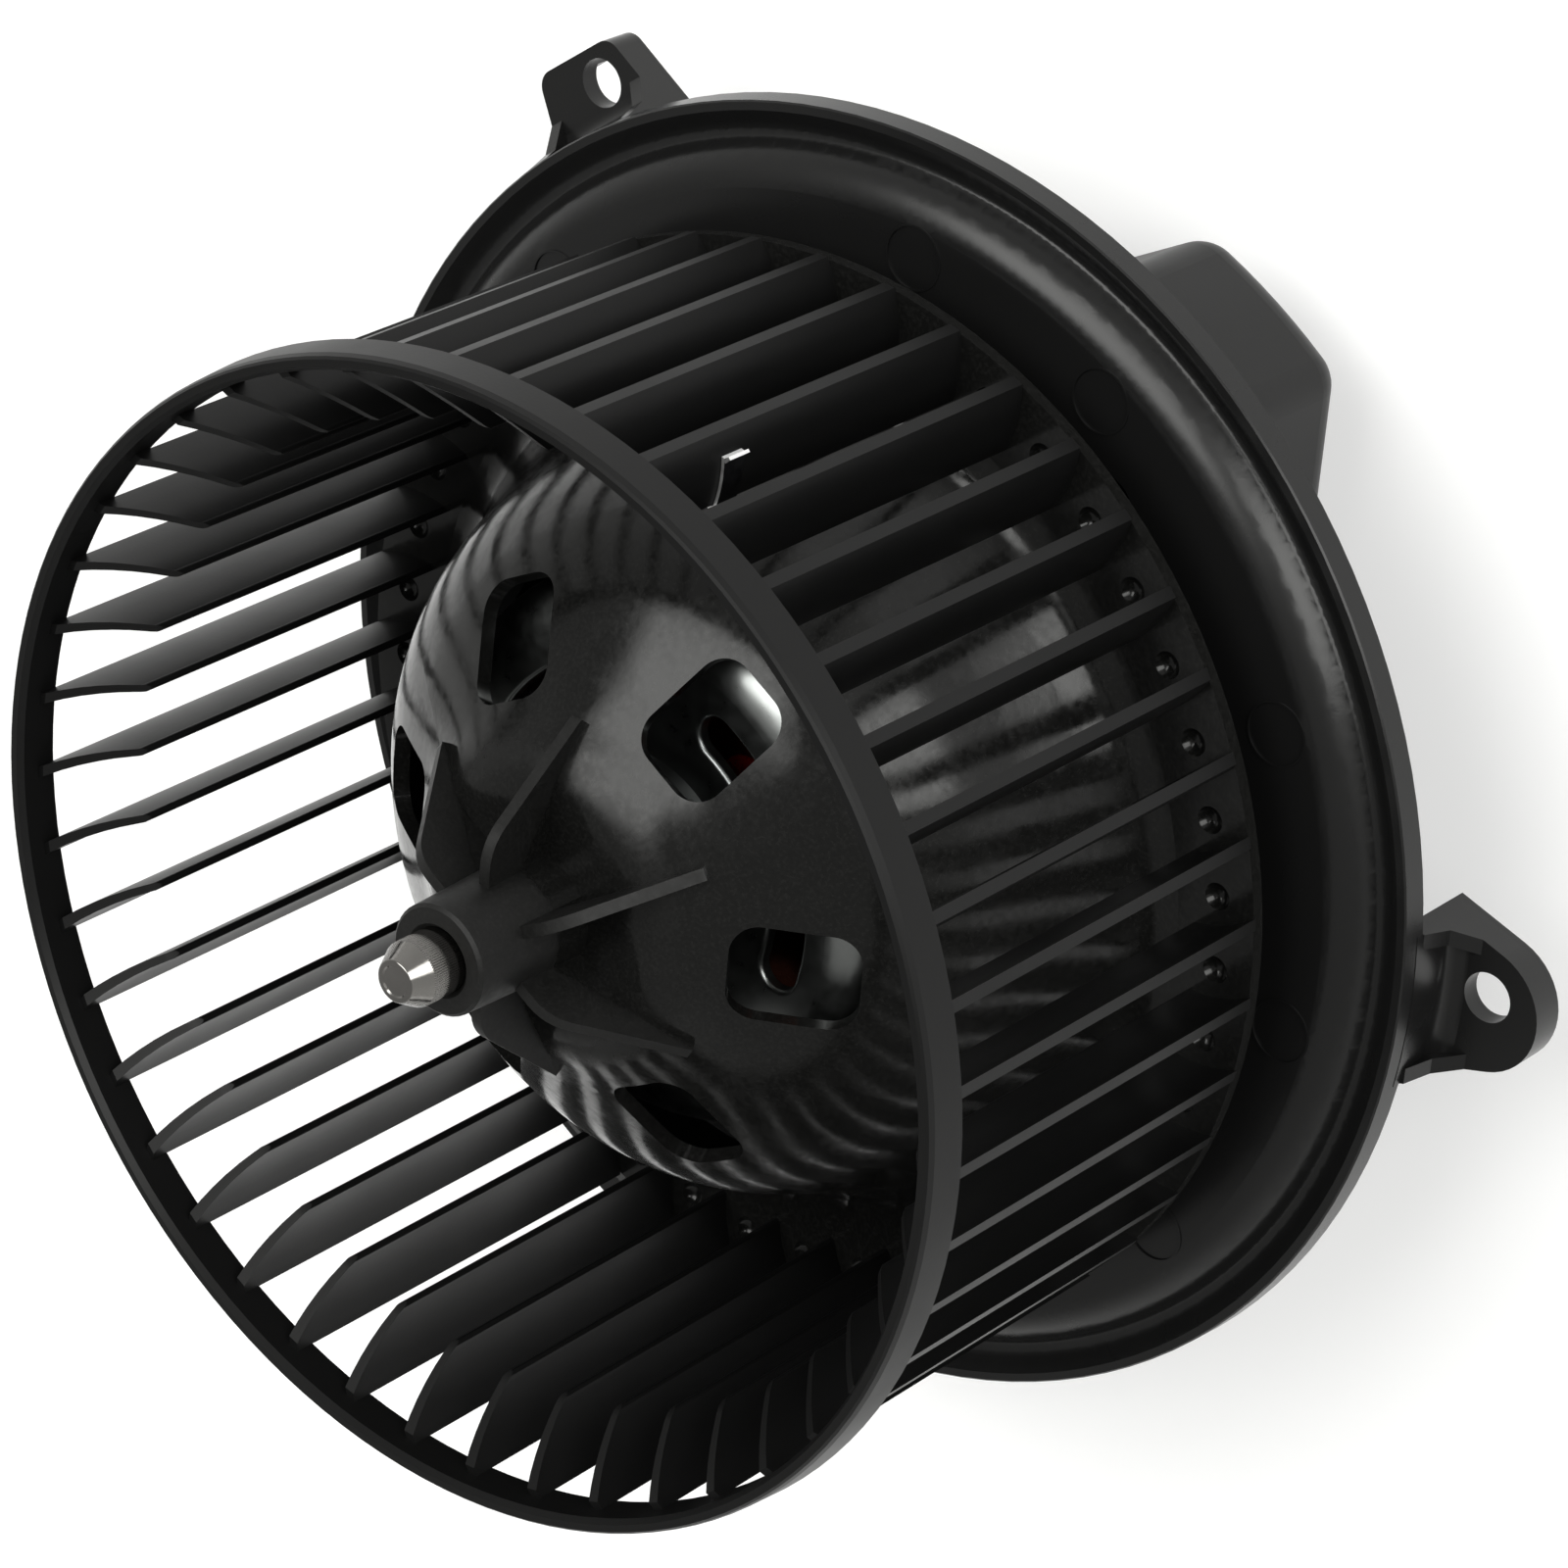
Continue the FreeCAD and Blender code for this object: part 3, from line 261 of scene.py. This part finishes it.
def bare_metal(name, dark, light, rough, scale=60.0, stretch=(1, 1, 1), depth=0.00002):
    """Metal whose colour drifts slowly and whose roughness follows a finer grain."""
    mat, tree, shader = new_material(name)
    shader.inputs["Metallic"].default_value = 1.0
    cloud = noise(tree, scale, 5.0, stretch)
    fine = noise(tree, scale * METAL_GRAIN_RATIO, 2.0, stretch)
    colour = blend_colour(tree, remap(tree, cloud, *NOISE_BAND, 0, 1), dark, light)
    tree.links.new(colour, shader.inputs["Base Color"])
    tree.links.new(remap(tree, fine, *NOISE_BAND, *rough), shader.inputs["Roughness"])
    bump(tree, shader, fine, GRAIN_STRENGTH, depth)
    return mat


def marked_copper(name, dark, light, mark, centre, reach):
    """Enamelled wire, coloured very dark, with a dab of red lacquer at one place."""
    mat = bare_metal(name, dark, light, (0.25, 0.4), 200.0, (1, 1, 8))
    tree = mat.node_tree
    shader = tree.nodes["Principled BSDF"]
    wire = shader.inputs["Base Color"].links[0].from_socket
    gap = tree.nodes.new("ShaderNodeVectorMath")
    gap.operation = "DISTANCE"
    tree.links.new(tree.nodes.new("ShaderNodeTexCoord").outputs["Object"], gap.inputs[0])
    gap.inputs[1].default_value = centre
    cover = remap(tree, gap.outputs["Value"], reach, reach * DAB_EDGE, 1, 0)
    tree.links.new(blend_colour(tree, cover, wire, mark), shader.inputs["Base Color"])
    return mat


def dull(name, dark, light, rough, scale=300.0, depth=0.00005):
    """A matt surface with a slow change of colour: rubber, ferrite, carbon and the like."""
    mat, tree, shader = new_material(name)
    cloud = noise(tree, scale, 5.0)
    colour = blend_colour(tree, remap(tree, cloud, *NOISE_BAND, 0, 1), dark, light)
    tree.links.new(colour, shader.inputs["Base Color"])
    tree.links.new(remap(tree, cloud, *NOISE_BAND, *rough), shader.inputs["Roughness"])
    bump(tree, shader, cloud, DULL_BUMP_STRENGTH, depth)
    return mat


HUB_GRAIN_SCALE = 1100.0
HUB_GRAIN_STRENGTH = 0.35
HUB_GRAIN_DEPTH = 0.000018
HUB_CLOUD_SCALE = 160.0
MOTTLE_BAND = (0.15, 0.35)
SPECK_SCALE = 2300.0
SPECK_BAND = (0.45, 0.8)
# where the painted highlight on the clip sheet's edges fades into the dark faces
PAINTED_HIGHLIGHT_EDGE = (0.45, 0.75)     # cosine to the sheet's normal where an edge turns into a face
SHEET_GRAIN_SCALE = 900.0
SHEET_GRAIN_DEPTH = 0.00001
SHEET_ROUGH = (0.4, 0.55)
METAL_GRAIN_RATIO = 20
DULL_BUMP_STRENGTH = 0.4
DOME_SLOPE = 0.55               # the dome falls by about this much for each unit of radius
DOME_TOP = (0.0636, 0.0644)     # the finish changes where height + slope x radius passes this
LACQUER_DAB = (-0.0027, -0.0138, 0.0305)
DAB_EDGE = 1.1                  # the lacquer fades out between its reach and this much more
CLIP_AZIMUTH = math.radians(-97.0)
CLIP_NORMAL = (-math.sin(CLIP_AZIMUTH), math.cos(CLIP_AZIMUTH), 0)

MATERIALS = {
    "flange_plastic": moulded_plastic("flange_plastic", 0.0058, 0.32, (0.24, 0.29), 45.0, 0.00002),
    "cover_plastic": moulded_plastic("cover_plastic", 0.0050, 0.25, (0.38, 0.46), 45.0, 0.00002),
    "wheel_plastic_gloss": hub_plastic("wheel_plastic_gloss", (0.0045, 0.0095), 0.25,
                                       (0.11, 0.22), 0.42, DOME_TOP),
    "wheel_plastic_satin": moulded_plastic("wheel_plastic_satin", 0.0035, 0.17, (0.36, 0.44),
                                           60.0, 0.00002),
    "screw_zinc": bare_metal("screw_zinc", (0.45, 0.45, 0.43), (0.62, 0.62, 0.60), (0.25, 0.4)),
    "tinned_brass": bare_metal("tinned_brass", (0.55, 0.53, 0.48), (0.7, 0.68, 0.62), (0.3, 0.4)),
    "rubber": dull("rubber", (0.018, 0.018, 0.018), (0.03, 0.03, 0.03), (0.75, 0.85)),
    "zinc_can": bare_metal("zinc_can", (0.23, 0.24, 0.24), (0.29, 0.30, 0.29), (0.27, 0.35), 25.0,
                           (1, 1, 1), 0.000004),
    "ferrite": dull("ferrite", (0.05, 0.05, 0.055), (0.08, 0.08, 0.085), (0.5, 0.65)),
    "spring_steel": bare_metal("spring_steel", (0.5, 0.5, 0.5), (0.66, 0.66, 0.67), (0.2, 0.32)),
    # the clip's bright edge colour is a painted highlight along its edges
    "clip_steel": edge_highlight_steel("clip_steel", (0.03, 0.03, 0.032), (0.8, 0.8, 0.8), CLIP_NORMAL),
    "sintered_bronze": bare_metal("sintered_bronze", (0.3, 0.21, 0.11), (0.45, 0.33, 0.18),
                                  (0.35, 0.5), 400.0),
    "card_plastic": dull("card_plastic", (0.09, 0.045, 0.03), (0.13, 0.07, 0.045), (0.5, 0.6)),
    "sheet_brass": bare_metal("sheet_brass", (0.6, 0.45, 0.2), (0.75, 0.58, 0.28), (0.25, 0.4)),
    "carbon": dull("carbon", (0.025, 0.025, 0.027), (0.045, 0.045, 0.048), (0.45, 0.6)),
    "enamelled_copper": marked_copper("enamelled_copper", (0.05, 0.016, 0.01),
                                      (0.10, 0.03, 0.018), (0.75, 0.02, 0.012), LACQUER_DAB,
                                      0.0030),
    "shaft_steel": bare_metal("shaft_steel", (0.20, 0.195, 0.185), (0.26, 0.25, 0.24),
                              (0.10, 0.16), 120.0, (1, 1, 1), 0.000002),
    "red_lamination": dull("red_lamination", (0.16, 0.010, 0.007), (0.22, 0.016, 0.011),
                           (0.35, 0.5)),
    "commutator_copper": bare_metal("commutator_copper", (0.6, 0.33, 0.2), (0.75, 0.45, 0.28),
                                    (0.2, 0.35)),
}

studio()

for row in frame["record"]["subparts"]:
    for slot in frame["nodes"][row["node"]].material_slots:
        slot.material = MATERIALS[row["material_slot"]]
